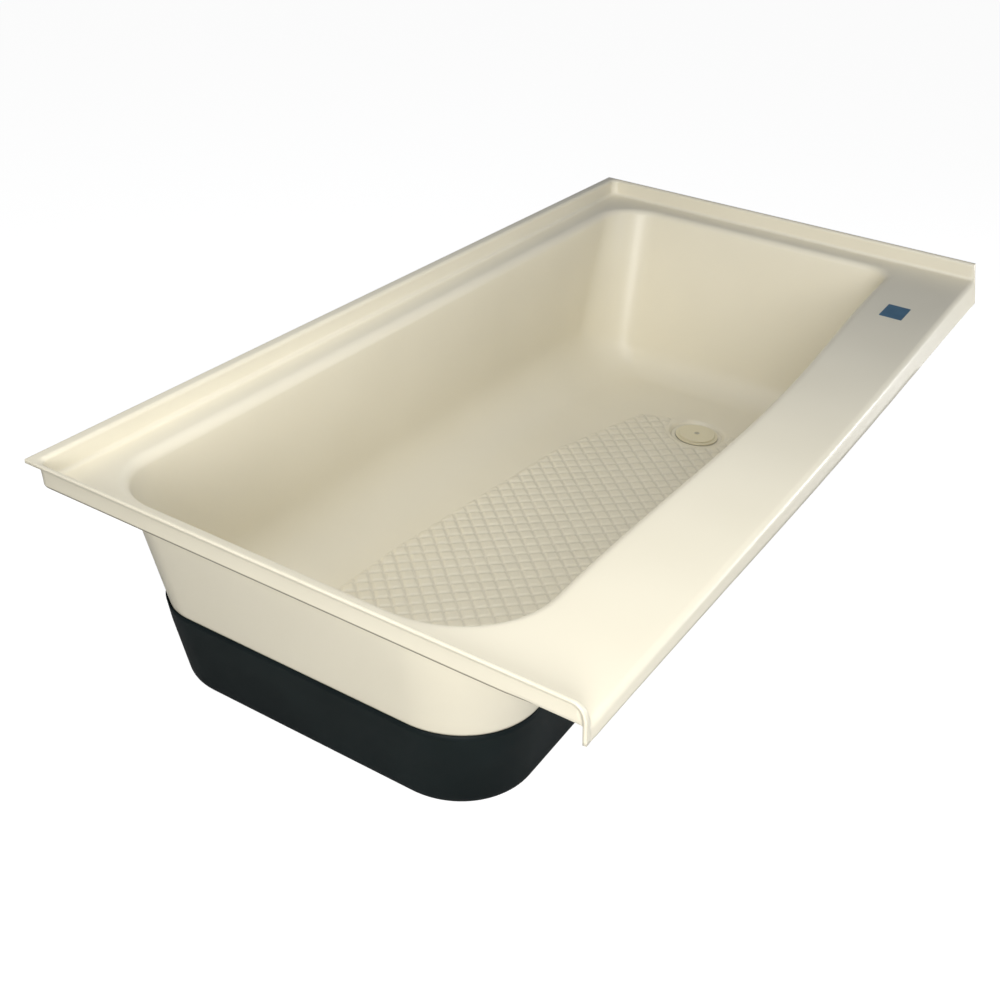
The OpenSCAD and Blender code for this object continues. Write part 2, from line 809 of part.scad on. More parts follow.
module cap_screw() {
    color(steel_grey)
        at_drain()
            difference() {
                union() {
                    translate([0, 0, cap_top - screw_head_height])
                        cylinder(r = screw_head_radius, h = screw_head_height, $fn = round_steps);
                    translate([0, 0, cap_bottom - screw_grip + head_clearance])
                        cylinder(r = screw_radius, h = cap_thickness + screw_grip - screw_head_height,
                                 $fn = round_steps);
                }
                translate([-screw_head_radius - cut, -screw_slot_width / 2, cap_top - screw_slot_depth])
                    cube([2 * (screw_head_radius + cut), screw_slot_width, screw_slot_depth + cut]);
            }
}

tub_shell();
base_pan();
floor_board();
bedding_pad();
ledge_stiffener();
size_label();
waste_body();
flange_gasket();
shell_washer();
friction_ring();
waste_locknut();
latch_barrel();
latch_spring();
latch_spindle();
stopper_cap();
stopper_seal();
cap_screw();
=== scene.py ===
import bpy
import bmesh
from math import sin, cos, tan, atan2, sqrt, pi, radians
from mathutils import Matrix, Vector


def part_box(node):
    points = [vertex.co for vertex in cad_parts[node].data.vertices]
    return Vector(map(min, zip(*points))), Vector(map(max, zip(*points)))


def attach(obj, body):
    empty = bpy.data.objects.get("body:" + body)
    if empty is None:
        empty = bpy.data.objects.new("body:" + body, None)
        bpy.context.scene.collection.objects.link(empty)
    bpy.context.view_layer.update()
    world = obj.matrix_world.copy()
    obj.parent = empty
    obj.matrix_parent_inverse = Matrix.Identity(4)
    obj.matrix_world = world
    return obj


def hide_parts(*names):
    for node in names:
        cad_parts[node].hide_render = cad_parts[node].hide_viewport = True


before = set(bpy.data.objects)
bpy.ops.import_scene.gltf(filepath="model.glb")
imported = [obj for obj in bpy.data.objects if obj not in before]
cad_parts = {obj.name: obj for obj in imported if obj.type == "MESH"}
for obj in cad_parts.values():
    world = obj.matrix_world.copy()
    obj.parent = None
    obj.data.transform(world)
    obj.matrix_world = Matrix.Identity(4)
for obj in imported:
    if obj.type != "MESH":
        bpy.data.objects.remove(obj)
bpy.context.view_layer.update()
print("frame loaded")

tubLow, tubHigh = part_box("tub_shell")
nearEnd, farEnd = tubLow.x, tubHigh.x
backEdge, lipsTop = tubHigh.y, tubHigh.z
tubLength = farEnd - nearEnd

# metres, the shell and its lips; depths and insets are taken from the outer edges
shell = {
    "width": 0.6858,
    "sheet": 0.004,
    "lipHeight": 0.027,
    "endFlange": 0.003, "backFlange": 0.010,  # bead at the two ends, flange at the back
    "lipLean": 0.001, "lipBend": 0.0052, "lipCove": 0.006,
    "tipRow": 0.0006,  # a row of points close to the lip's outer edge keeps its flat face flat
    "tipCorner": 0.0015, "faceCorner": 0.012, "frontCorner": 0.040,
    "frontStretch": 0.100,  # over this length the ends of the lips follow the ledge
    "insets": [0.046, 0.054, 0.121, 0.059],  # near, far, front, back
    "corners": [0.076, 0.076, 0.117, 0.040],  # far back, near back, near front, far front
    "tapers": [0.0, 0.008, 0.032, 0.0],  # how much smaller a corner is at the foot of its walls
    "smallestCorner": 0.004, "covePull": 0.7,  # corners shrink by this share of the cove's inset
    "rimRadius": 0.014, "rimBow": 0.018, "rimMargin": 0.008,
    "drafts": [13.0, 15.0, 6.5, 2.5],
    "coves": [0.060, 0.060, 0.050, 0.088],
    "floorHeight": 0.030, "floorFall": 0.016,
    "drainFromEnd": 0.302, "drainFromFront": 0.324,
    "recessRadius": 0.048, "recessDepth": 0.006, "recessSlope": 0.005,
    "recessBevel": 0.001, "recessMargin": 0.004, "holeRadius": 0.0254,
    "weld": 0.0004,
}

# where the rings of the basin lie between its drain, coves, walls, rim and deck
basinRows = {
    "recess": (0.5, 0.92), "slope": 0.5, "floor": (0.12, 0.3, 0.5, 0.7, 0.85, 0.95), "coveSteps": 12,
    "walls": (0.06, 0.2, 0.4, 0.6, 0.8, 0.94), "rimSteps": 8, "deck": (0.5, 0.9),
}

# the ledge's rounded edge and the apron under it
apron = {
    "edgeRadius": 0.009,
    "nearDepth": 0.042, "farDepth": 0.066,
    "farProud": 0.007, "nearFoot": 0.004, "farFoot": 0.016, "bow": 0.004,
    "nearCrest": 0.0145, "nearCrestDrop": 0.022, "crestPast": 0.002,
    "crestKnee": 0.6, "farCrestCurve": 1.2,
}

frontLine = backEdge - shell["width"]
deckTop = lipsTop - shell["lipHeight"]
drainSpot = Vector((farEnd - shell["drainFromEnd"], frontLine + shell["drainFromFront"], 0))


def floorTop(x):
    return shell["floorHeight"] + shell["floorFall"] * (drainSpot.x - x)


wallEdge = [nearEnd + shell["insets"][0], farEnd - shell["insets"][1],
            frontLine + shell["insets"][2], backEdge - shell["insets"][3]]
inward = [1, -1, 1, -1]
middleFloor = floorTop((nearEnd + farEnd) / 2)
meanDraft = (shell["drafts"][0] + shell["drafts"][1]) / 2
endRun = (deckTop - shell["floorHeight"]) * tan(radians(meanDraft))
nearFloor, farFloor = floorTop(wallEdge[0] + endRun), floorTop(wallEdge[1] - endRun)
wallDepth = [deckTop - nearFloor, deckTop - farFloor,
             deckTop - middleFloor, deckTop - middleFloor]

# a ring round the tub has these many stations in a corner, on a long side and on a short side
cornerSteps, longSteps, shortSteps = 24, 36, 14
cornerWalls = [(1, 3), (0, 3), (0, 2), (1, 2)]


def makeStations():
    stations = []
    for corner in range(4):
        for i in range(cornerSteps + 1):
            stations.append((corner, i / cornerSteps, None))
        steps = longSteps if corner % 2 == 0 else shortSteps
        for j in range(1, steps):
            stations.append((corner, 1.0, j / steps))
    return stations


stations = makeStations()
stationCount = len(stations)
farSplit, nearSplit = stations.index((3, 0.5, None)), stations.index((2, 0.5, None))
frontStations = stations[nearSplit:farSplit + 1]
lipStations = [stations[(farSplit + i) % stationCount]
               for i in range((nearSplit - farSplit) % stationCount + 1)]


def cornerPoint(edges, corner, share, radii, heights, fromFloor, square):
    xw, yw = cornerWalls[corner]
    angle = radians(90 * (corner + share))
    r = radii[corner]
    c, s = cos(angle), sin(angle)
    if square and corner > 1:  # stations of a sharp corner spread along its two sides
        stretch = 1 / max(abs(c), abs(s))
        c, s = c * stretch, s * stretch
    x = edges[xw] + inward[xw] * r + r * c
    y = edges[yw] + inward[yw] * r + r * s
    w = cos(angle) ** 2
    z = w * heights[xw] + (1 - w) * heights[yw]
    if fromFloor:  # front and back walls stand back for the floor's fall and so stay flat
        y -= inward[yw] * (floorTop(x) - middleFloor) * tan(radians(shell["drafts"][yw]))
        z += floorTop(x)
    return Vector((x, y, z))


# edges, radii of the four corners and heights (near, far, front, back) give one ring
def ringPoint(station, edges, radii, heights, bow=0.0, fromFloor=False, square=False):
    corner, share, along = station
    p = cornerPoint(edges, corner, share, radii, heights, fromFloor, square)
    if along is not None:
        q = cornerPoint(edges, (corner + 1) % 4, 0.0, radii, heights, fromFloor, square)
        p = p.lerp(q, along)
        if corner == 2:
            p.y -= bow * (1 - cos(2 * pi * along)) / 2
    return p


def edgesFor(insets):
    return [wallEdge[i] + inward[i] * insets[i] for i in range(4)]


def radiiFor(inset, pull=1.0, taper=0.0):
    return [max(r - t * taper - inset * pull, shell["smallestCorner"])
            for r, t in zip(shell["corners"], shell["tapers"])]


def rimRing(t):
    r = shell["rimRadius"]
    sweeps = [radians(90 - a) * t for a in shell["drafts"]]
    insets = [-r * tan(radians(90 - a) / 2) + r * sin(w) for a, w in zip(shell["drafts"], sweeps)]
    mean = radians(90 - meanDraft)
    heights = [deckTop - r + r * cos(w) for w in sweeps]
    edges, radii = edgesFor(insets), radiiFor(-r * tan(mean / 2) + r * sin(mean * t))
    return lambda s: ringPoint(s, edges, radii, heights, shell["rimBow"])


def coveRing(t):
    sweeps = [radians(90 - a) * t for a in shell["drafts"]]
    insets = [wallDepth[i] * tan(radians(shell["drafts"][i]))
              + shell["coves"][i] * tan(radians(90 - shell["drafts"][i]) / 2)
              - shell["coves"][i] * sin(sweeps[i]) for i in range(4)]
    mean = radians(90 - meanDraft)
    meanCove = (shell["coves"][0] + shell["coves"][2]) / 2
    heights = [shell["coves"][i] * (1 - cos(sweeps[i])) for i in range(4)]
    meanInset = meanCove * tan(mean / 2) - meanCove * sin(mean * t)
    edges, radii = edgesFor(insets), radiiFor(meanInset, shell["covePull"], 1.0)
    return lambda s: ringPoint(s, edges, radii, heights, fromFloor=True)


def marginRing(out):
    r = shell["rimRadius"]
    edges = edgesFor([-r * tan(radians(90 - a) / 2) - out for a in shell["drafts"]])
    radii = radiiFor(-r * tan(radians(90 - meanDraft) / 2) - out)
    return lambda s: ringPoint(s, edges, radii, [deckTop] * 4, shell["rimBow"])


def circleRing(outer, r, height, onFloor):
    def place(s):
        d = (outer(s) - drainSpot).xy.normalized()
        x, y = drainSpot.x + r * d.x, drainSpot.y + r * d.y
        return Vector((x, y, height + (floorTop(x) if onFloor else 0)))
    return place


def between(a, b, t):
    return lambda s: a(s).lerp(b(s), t)


# the ledge's section at a share of the length: rounded edge, apron and its foot
edgeRows, apronShares = 8, (0.25, 0.5, 0.75, 0.985, 1.0)


def ledgeSection(share):
    bow = apron["bow"] * (1 - cos(2 * pi * share)) / 2
    edgeY = frontLine - apron["farProud"] * share - bow
    footY = frontLine - apron["nearFoot"] - (apron["farFoot"] - apron["nearFoot"]) * share - bow
    footZ = lipsTop - apron["nearDepth"] - (apron["farDepth"] - apron["nearDepth"]) * share
    flare = atan2(edgeY - footY, deckTop - footZ)
    turn = pi / 2 - flare
    r = apron["edgeRadius"]
    centre = Vector((0, edgeY + r * tan(turn / 2), deckTop - r))
    rows = [centre + r * Vector((0, -sin(turn * i / edgeRows), cos(turn * i / edgeRows)))
            for i in range(edgeRows + 1)]
    foot = Vector((0, footY, footZ))
    rows += [rows[edgeRows].lerp(foot, t) for t in apronShares]
    return rows


rowCount = edgeRows + len(apronShares)


def lipFoot(flange):
    return flange + shell["sheet"] + shell["lipLean"] + shell["lipCove"]


# a ring along the lips at distances in from the outer edges, with one radius for both back corners
def lipRing(s, ends, back, radius):
    edges = [nearEnd + ends, farEnd - ends, frontLine, backEdge - back]
    radii = [radius, radius, shell["frontCorner"], shell["frontCorner"]]
    return ringPoint(s, edges, radii, [deckTop] * 4, square=True)


# the deck's outline: feet of the lips on three sides, in front where the ledge starts to round over
def deckEdge(s):
    p = lipRing(s, lipFoot(shell["endFlange"]), lipFoot(shell["backFlange"]),
                shell["faceCorner"] + shell["lipCove"])
    start = ledgeSection((p.x - nearEnd) / tubLength)[0].y
    corner, share, along = s
    if corner == 2 and share >= 0.5 or corner == 3 and along is None and share <= 0.5:
        p.y = start
    elif p.y < frontLine + shell["frontCorner"]:  # end sides run on to the ledge's edge
        p.y += (start - frontLine) * (frontLine + shell["frontCorner"] - p.y) / shell["frontCorner"]
    return p


# the same ring with its front ends led along the ledge's edge
def followDeck(s, ends, back, radius):
    p, front = lipRing(s, ends, back, radius), deckEdge(s).y
    if s[0] > 1 or front < frontLine + shell["frontStretch"]:
        p.y = front
    return p


# the lip's wet side: distance in, height, radius of the back corners, 1 where the flange is added
def lipSection():
    bend, sheet, height = shell["lipBend"], shell["sheet"], shell["lipHeight"]
    coveSteps, bendSteps = 6, 6
    points = []
    for i in range(coveSteps + 1):
        a = pi / 2 * i / coveSteps
        step = shell["lipCove"] * (1 - sin(a))
        up = shell["lipCove"] * (1 - cos(a))
        points.append((sheet + shell["lipLean"] + step, up, shell["faceCorner"] + step, 1))
    for i in range(bendSteps + 1):
        a = pi / 2 * (1 - i / bendSteps)
        points.append((bend * sin(a) - (bend - sheet), height - bend + bend * cos(a),
                       shell["faceCorner"], 1))
    points += [(inset, height, shell["tipCorner"], 0) for inset in (shell["tipRow"], 0.0)]
    return points


lipPoints = lipSection()


def crestDrop(y):
    top = frontLine + apron["nearCrest"]
    if y >= top:
        return 0.0
    q = min(1.0, (top - y) / (apron["nearCrest"] + apron["crestPast"]))
    return apron["nearCrestDrop"] * (1 - sqrt(1 - q * q))


def lipPoint(s, k):
    inset, up, radius, onFlange = lipPoints[k]
    ends, back = [shell[name] * onFlange + inset for name in ("endFlange", "backFlange")]
    p = followDeck(s, ends, back, radius)
    height = shell["lipHeight"]
    if p.x < 0:
        height -= crestDrop(p.y)
    p.z = deckTop + up / shell["lipHeight"] * height
    return p


# the lip goes on down over the ledge's edge at both ends of the apron and runs out at its foot
def crestPoint(side, row):
    section = ledgeSection(0.0 if side > 0 else 1.0)
    foot, t, knee = section[-1], row / rowCount, apron["crestKnee"]
    if side < 0:
        return Vector((0, frontLine, lipsTop)).lerp(foot, t ** apron["farCrestCurve"])
    top, drop = frontLine + apron["nearCrest"], apron["nearCrestDrop"]
    reach = apron["nearCrest"] + apron["crestPast"]
    q = (top - section[0].y) / reach
    phi0 = atan2(q, sqrt(1 - q ** 2))
    if t < knee:
        phi = phi0 + (pi / 2 - phi0) * t / knee
        return Vector((0, top - reach * sin(phi), lipsTop - drop * (1 - cos(phi))))
    return Vector((0, top - reach, lipsTop - drop)).lerp(foot, (t - knee) / (1 - knee))


def lipEndPoint(side, row, k):
    section = ledgeSection(0.0 if side > 0 else 1.0)
    inset, up, _, onFlange = lipPoints[k]
    ends = shell["endFlange"] * onFlange + inset
    p = section[row].lerp(crestPoint(side, row), up / shell["lipHeight"])
    p.x = nearEnd + ends if side > 0 else farEnd - ends
    return p


def wrapGrid(bm, columns, rows, place):
    made = bmesh.ops.create_grid(bm, x_segments=columns, y_segments=rows, size=1.0)["verts"]
    for v in made:
        i = round((v.co.x + 1) / 2 * columns)
        j = round((v.co.y + 1) / 2 * rows)
        v.co = place(i, j)
    return made


def basinRings():
    edge, rows = coveRing(0.0), basinRows
    r, bevel = shell["recessRadius"], shell["recessBevel"]
    low = shell["floorHeight"] - shell["recessDepth"]
    lowRing = circleRing(edge, r - shell["recessSlope"], low, False)
    hole = circleRing(edge, shell["holeRadius"], low, False)
    slopeTop = circleRing(edge, r - bevel, -bevel, True)
    start = circleRing(edge, r + shell["recessMargin"], 0.0, True)
    rings = [hole] + [between(hole, lowRing, t) for t in rows["recess"]]
    rings += [lowRing, between(lowRing, slopeTop, rows["slope"]), slopeTop,
              circleRing(edge, r + bevel, 0.0, True), start]
    rings += [between(start, edge, t) for t in rows["floor"]]
    rings += [coveRing(i / rows["coveSteps"]) for i in range(rows["coveSteps"] + 1)]
    foot, top = coveRing(1.0), rimRing(1.0)
    rings += [between(foot, top, t) for t in rows["walls"]]
    rings += [rimRing(1 - i / rows["rimSteps"]) for i in range(rows["rimSteps"] + 1)]
    margin = marginRing(shell["rimMargin"])
    rings += [margin] + [between(margin, deckEdge, t) for t in rows["deck"]] + [deckEdge]
    return rings


def newObject(name, bm, material, body="tub", smoothAngle=40):
    mesh = bpy.data.meshes.new(name)
    bm.to_mesh(mesh)
    bm.free()
    mesh.materials.append(material)
    obj = bpy.data.objects.new(name, mesh)
    bpy.context.scene.collection.objects.link(obj)
    for p in mesh.polygons:
        p.use_smooth = True
    mesh.set_sharp_from_angle(angle=radians(smoothAngle))
    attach(obj, body)
    return obj


# turns all faces round where this one of them points the wrong way, up is 1 or -1
def pointFaces(bm, face, up):
    if face.normal.z * up < 0:
        bmesh.ops.reverse_faces(bm, faces=bm.faces)


def makeShell(material):
    bm = bmesh.new()
    rings = basinRings()
    wrapGrid(bm, stationCount, len(rings) - 1, lambda i, j: rings[j](stations[i % stationCount]))
    wrapGrid(bm, len(lipStations) - 1, len(lipPoints) - 1, lambda i, j: lipPoint(lipStations[i], j))
    last = len(frontStations) - 1

    def apronPoint(i, j):
        p = deckEdge(frontStations[i])
        share = {0: 0.0, last: 1.0}.get(i, (p.x - nearEnd) / tubLength)
        row = ledgeSection(share)[j]
        return Vector((p.x, row.y, row.z))
    wrapGrid(bm, last, rowCount, apronPoint)
    for side in (1, -1):
        wrapGrid(bm, rowCount, len(lipPoints) - 1, lambda i, j: lipEndPoint(side, i, j))
    bmesh.ops.remove_doubles(bm, verts=bm.verts, dist=shell["weld"])
    bmesh.ops.recalc_face_normals(bm, faces=bm.faces)

    def flatness(face):
        return abs(face.normal.z) * (abs(face.calc_center_median().z - deckTop) < 1e-4)
    pointFaces(bm, max(bm.faces, key=flatness), 1)  # a face of the deck
    obj = newObject("shellSkin", bm, material)
    wall = obj.modifiers.new("sheet", "SOLIDIFY")
    wall.thickness = shell["sheet"]
    wall.offset = -1
    wall.use_even_offset = True
    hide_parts("tub_shell")
    return obj


# a square heel under the lips, where the outside of the sheet turns from a lip into the deck
heel = {
    "waist": 0.4, "edgeRadius": 0.0056, "edgeSteps": 5, "sunk": 0.0001,
    "endDistance": 0.020, "taperLength": 0.07, "smallestEnd": 0.05,  # it thins out before the ledge
    "weld": 0.00002,
}
heelSize = shell["lipCove"] + shell["sheet"]
heelWaist = heelSize * heel["waist"]


# distances in from the flange's face and up from the deck's underside
def heelSection():
    r, start = heel["edgeRadius"], heel["sunk"]
    turns = [pi / 2 * i / heel["edgeSteps"] for i in range(heel["edgeSteps"] + 1)]
    corner = [(start + r * (1 - sin(a)), start + r * (1 - cos(a))) for a in reversed(turns)]
    return [(start, heelSize)] + corner + [(heelSize, start), (heelWaist, heelWaist), (start, heelSize)]


def makeHeel(material):
    points = heelSection()
    end = frontLine + heel["endDistance"]

    def place(s, k):
        fade = min(1.0, max(heel["smallestEnd"], (deckEdge(s).y - end) / heel["taperLength"]))
        inset, up = [heelWaist + (value - heelWaist) * fade for value in points[k]]
        ends, back = [shell[name] + shell["lipLean"] + inset for name in ("endFlange", "backFlange")]
        p = followDeck(s, ends, back, shell["faceCorner"] + shell["sheet"] - inset)
        p.z = deckTop - shell["sheet"] + up
        return p
    path = [s for s in lipStations if place(s, 0).y > end]
    bm = bmesh.new()
    wrapGrid(bm, len(path) - 1, len(points) - 1, lambda i, j: place(path[i], j))
    bmesh.ops.remove_doubles(bm, verts=bm.verts, dist=heel["weld"])
    bmesh.ops.holes_fill(bm, edges=[e for e in bm.edges if e.is_boundary])
    bmesh.ops.recalc_face_normals(bm, faces=bm.faces)
    obj = newObject("lipHeel", bm, material, smoothAngle=30)
    return obj


# the raised floor tiles, on the diagonal, with grooves between them
tiles = {
    "pitch": (0.02003, 0.02105), "groovePlace": (0.52, 0.70),  # along the two diagonals
    "first": (13, -12), "last": (58, 31),  # tiles counted from the near front corner
    "height": 0.0027, "rounding": 0.0042, "base": 0.0001,
    "fade": 0.009, "sink": 0.0004, "steps": 8,
    "outline": [(0.180, 0.235), (0.210, 0.208), (1.070, 0.208), (1.096, 0.240), (1.096, 0.388),
                (1.074, 0.435), (1.043, 0.473), (0.865, 0.488), (0.740, 0.519), (0.330, 0.524),
                (0.205, 0.515), (0.180, 0.490)],
    "drainClearance": 0.0515,
}


def tileEdge(x, y):
    corners, nearest = tiles["outline"], 1.0
    for (ax, ay), (bx, by) in zip(corners, corners[1:] + corners[:1]):
        dx, dy = bx - ax, by - ay
        nearest = min(nearest, (dx * (y - ay) - dy * (x - ax)) / sqrt(dx * dx + dy * dy))
    fromDrain = sqrt((x + nearEnd - drainSpot.x) ** 2 + (y + frontLine - drainSpot.y) ** 2)
    return min(nearest, fromDrain - tiles["drainClearance"])


def pillow(place, pitch):
    fromGroove = abs((place + 0.5) % 1.0 - 0.5) * pitch
    return 1 - (1 - min(fromGroove / tiles["rounding"], 1.0)) ** 2


def makeTiles(material):
    bm = bmesh.new()
    pitchA, pitchB = tiles["pitch"]
    placeA, placeB = tiles["groovePlace"]
    steps = tiles["steps"]
    firstA, firstB = tiles["first"]
    columns, rows = [(b - a) * steps for a, b in zip(tiles["first"], tiles["last"])]

    def place(i, j):
        a, b = firstA + i / steps, firstB + j / steps
        u, v = (a + placeA) * pitchA, (b + placeB) * pitchB
        x, y = (u + v) / sqrt(2), (u - v) / sqrt(2)
        edge = tileEdge(x, y)
        share = max(0.0, min(1.0, edge / tiles["fade"]))
        share = share * share * (3 - 2 * share)
        lift = tiles["base"] + tiles["height"] * pillow(a, pitchA) * pillow(b, pitchB)
        z = floorTop(x + nearEnd) + lift * share - tiles["sink"] * (1 - share)
        return Vector((x + nearEnd, y + frontLine, z))
    wrapGrid(bm, columns, rows, place)
    middles = [(f, f.calc_center_median()) for f in bm.faces]
    outside = [f for f, middle in middles if tileEdge(middle.x - nearEnd, middle.y - frontLine) < 0]
    bmesh.ops.delete(bm, geom=outside, context="FACES")
    bmesh.ops.recalc_face_normals(bm, faces=bm.faces)
    bm.faces.ensure_lookup_table()
    pointFaces(bm, bm.faces[0], 1)
    obj = newObject("floorTiles", bm, material, smoothAngle=180)
    return obj


# the black pan, which follows the shell's outside down to the ground
pan = {
    "height": 0.131, "thickness": 0.0012, "gap": 0.0018,
    "topGap": 0.0003, "leanHeight": 0.030,  # the wall leans on to the shell towards its top edge
    "edgeRadius": 0.018, "serviceRadius": 0.052, "edgeSteps": 10, "wallSteps": 12,
    "bottomRows": (0.02, 0.25, 0.5, 0.75), "weld": 0.00005,
}


def panRing(z, off, drawIn):
    rise = shell["coves"][2] * (1 - sin(radians(shell["drafts"][2])))
    high = deckTop - shell["rimRadius"] * (1 - sin(radians(shell["drafts"][2])))
    # the radii change from the high end of the floor upwards, the bow from its low end
    radiiShare, bowShare = [max(0.0, (z - low - rise) / (high - low - rise))
                            for low in (nearFloor, farFloor)]
    mean, meanCove = radians(90 - meanDraft), (shell["coves"][0] + shell["coves"][2]) / 2
    lowInset = meanCove * tan(mean / 2) - (meanCove + shell["sheet"]) * sin(mean)
    highInset = (shell["rimRadius"] - shell["sheet"]) * sin(mean) - shell["rimRadius"] * tan(mean / 2)
    lowRadii, highRadii = radiiFor(lowInset, shell["covePull"], 1.0), radiiFor(highInset)
    radii = [lo + (hi - lo) * radiiShare + off - drawIn for lo, hi in zip(lowRadii, highRadii)]
    insets = [(deckTop - z) * tan(radians(a)) - (shell["sheet"] + off) / cos(radians(a)) + drawIn
              for a in shell["drafts"]]
    edges = edgesFor(insets)
    return lambda s: ringPoint(s, edges, radii, [z] * 4, shell["rimBow"] * bowShare)


def makePan(material):
    off, r = pan["gap"] + pan["thickness"], pan["edgeRadius"]
    rings = []
    for i in range(pan["wallSteps"]):
        drop = (pan["height"] - r) * i / pan["wallSteps"]
        lean = max(0.0, 1 - drop / pan["leanHeight"]) * (pan["gap"] - pan["topGap"])
        rings.append(panRing(pan["height"] - drop, off - lean, 0.0))
    for i in range(pan["edgeSteps"] + 1):
        a = pi / 2 * i / pan["edgeSteps"]
        rings.append(panRing(r * (1 - sin(a)), off, r * (1 - cos(a))))
    edge = rings[-1]
    hole = circleRing(edge, pan["serviceRadius"], 0.0, False)
    rings += [between(edge, hole, t) for t in pan["bottomRows"]] + [hole]
    bm = bmesh.new()
    wrapGrid(bm, stationCount, len(rings) - 1, lambda i, j: rings[j](stations[i % stationCount]))
    bmesh.ops.remove_doubles(bm, verts=bm.verts, dist=pan["weld"])
    bmesh.ops.recalc_face_normals(bm, faces=bm.faces)
    pointFaces(bm, min(bm.faces, key=lambda f: f.calc_center_median().z), -1)
    obj = newObject("lowerPan", bm, material, smoothAngle=30)
    wall = obj.modifiers.new("wall", "SOLIDIFY")
    wall.thickness = pan["thickness"]
    wall.offset = -1
    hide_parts("base_pan")
    return obj


# materials: one function for each finish, and shared effects as groups
def newMaterial(name, colour, roughness):
    mat = bpy.data.materials.new(name)
    mat.use_nodes = True
    shader = mat.node_tree.nodes["Principled BSDF"]
    shader.inputs["Base Color"].default_value = (*colour, 1)
    shader.inputs["Roughness"].default_value = roughness
    return mat, mat.node_tree.nodes, mat.node_tree.links, shader


# long waves of a formed sheet with a fine grain on them
def makeWaveGroup():
    group = bpy.data.node_groups.new("formedSheetWave", "ShaderNodeTree")
    for name, value in (("Coarse Scale", 9.0), ("Fine Scale", 420.0),
                        ("Coarse Height", 1.0), ("Fine Height", 0.06)):
        socket = group.interface.new_socket(name, in_out="INPUT", socket_type="NodeSocketFloat")
        socket.default_value = value
    group.interface.new_socket("Height", in_out="OUTPUT", socket_type="NodeSocketFloat")
    group.interface.new_socket("Mottle", in_out="OUTPUT", socket_type="NodeSocketFloat")
    nodes, links = group.nodes, group.links
    start, end = nodes.new("NodeGroupInput"), nodes.new("NodeGroupOutput")
    place = nodes.new("ShaderNodeTexCoord")
    coarse, fine = nodes.new("ShaderNodeTexNoise"), nodes.new("ShaderNodeTexNoise")
    coarse.inputs["Detail"].default_value = 1.0
    fine.inputs["Detail"].default_value = 2.0
    for tex, name in ((coarse, "Coarse Scale"), (fine, "Fine Scale")):
        links.new(place.outputs["Object"], tex.inputs["Vector"])
        links.new(start.outputs[name], tex.inputs["Scale"])
    lift, grain = nodes.new("ShaderNodeMath"), nodes.new("ShaderNodeMath")
    for node, tex, name in ((lift, coarse, "Coarse Height"), (grain, fine, "Fine Height")):
        node.operation = "MULTIPLY"
        links.new(tex.outputs["Fac"], node.inputs[0])
        links.new(start.outputs[name], node.inputs[1])
    total = nodes.new("ShaderNodeMath")
    total.operation = "ADD"
    links.new(lift.outputs[0], total.inputs[0])
    links.new(grain.outputs[0], total.inputs[1])
    links.new(total.outputs[0], end.inputs["Height"])
    links.new(coarse.outputs["Fac"], end.inputs["Mottle"])
    return group


# painted shade: a tone gets darker in creases, within a reach, where ambient occlusion finds them
def makeCreaseShadeGroup():
    group = bpy.data.node_groups.new("paintedCreaseShade", "ShaderNodeTree")
    group.interface.new_socket("Tone", in_out="INPUT", socket_type="NodeSocketColor")
    for name, value in (("Reach", 0.007), ("Dark", 0.45)):
        socket = group.interface.new_socket(name, in_out="INPUT", socket_type="NodeSocketFloat")
        socket.default_value = value
    group.interface.new_socket("Tone", in_out="OUTPUT", socket_type="NodeSocketColor")
    nodes, links = group.nodes, group.links
    start, end = nodes.new("NodeGroupInput"), nodes.new("NodeGroupOutput")
    seen = nodes.new("ShaderNodeAmbientOcclusion")
    seen.samples = 8
    depth = nodes.new("ShaderNodeMapRange")
    depth.inputs["From Min"].default_value, depth.inputs["From Max"].default_value = 0.45, 0.85
    shade = nodes.new("ShaderNodeVectorMath")
    shade.operation = "SCALE"
    links.new(start.outputs["Reach"], seen.inputs["Distance"])
    links.new(seen.outputs["AO"], depth.inputs["Value"])
    links.new(start.outputs["Dark"], depth.inputs["To Min"])
    links.new(start.outputs["Tone"], shade.inputs[0])
    links.new(depth.outputs["Result"], shade.inputs["Scale"])
    links.new(shade.outputs["Vector"], end.inputs["Tone"])
    return group


waveGroup, creaseShadeGroup = makeWaveGroup(), makeCreaseShadeGroup()


def addGroup(nodes, group, values):
    node = nodes.new("ShaderNodeGroup")
    node.node_tree = group
    for name, value in values.items():
        node.inputs[name].default_value = value
    return node


def addBump(nodes, links, shader, height, strength, distance, invert=False):
    bump = nodes.new("ShaderNodeBump")
    bump.inputs["Strength"].default_value = strength
    bump.inputs["Distance"].default_value = distance
    bump.invert = invert
    links.new(height, bump.inputs["Height"])
    links.new(bump.outputs["Normal"], shader.inputs["Normal"])


def addRamp(nodes, links, source, stops, target):
    ramp = nodes.new("ShaderNodeValToRGB")
    ends = ramp.color_ramp.elements[0], ramp.color_ramp.elements[1]
    for end, (position, colour) in zip(ends, (stops[0], stops[-1])):
        end.position, end.color = position, (*colour, 1)
    for position, colour in stops[1:-1]:
        ramp.color_ramp.elements.new(position).color = (*colour, 1)
    links.new(source, ramp.inputs["Fac"])
    links.new(ramp.outputs["Color"], target)


# waves in the surface, and between two tones over it
def addWave(nodes, links, shader, values, strength, distance, low, high):
    wave = addGroup(nodes, waveGroup, values)
    addBump(nodes, links, shader, wave.outputs["Height"], strength, distance)
    addRamp(nodes, links, wave.outputs["Mottle"], [(0.3, low), (0.7, high)], shader.inputs["Base Color"])


# painted shade in the creases, laid over the tone that feeds Base Color
def addPaintedCreaseShade(nodes, links, shader, reach, dark):
    creases = addGroup(nodes, creaseShadeGroup, {"Reach": reach, "Dark": dark})
    links.new(shader.inputs["Base Color"].links[0].from_socket, creases.inputs["Tone"])
    links.new(creases.outputs["Tone"], shader.inputs["Base Color"])
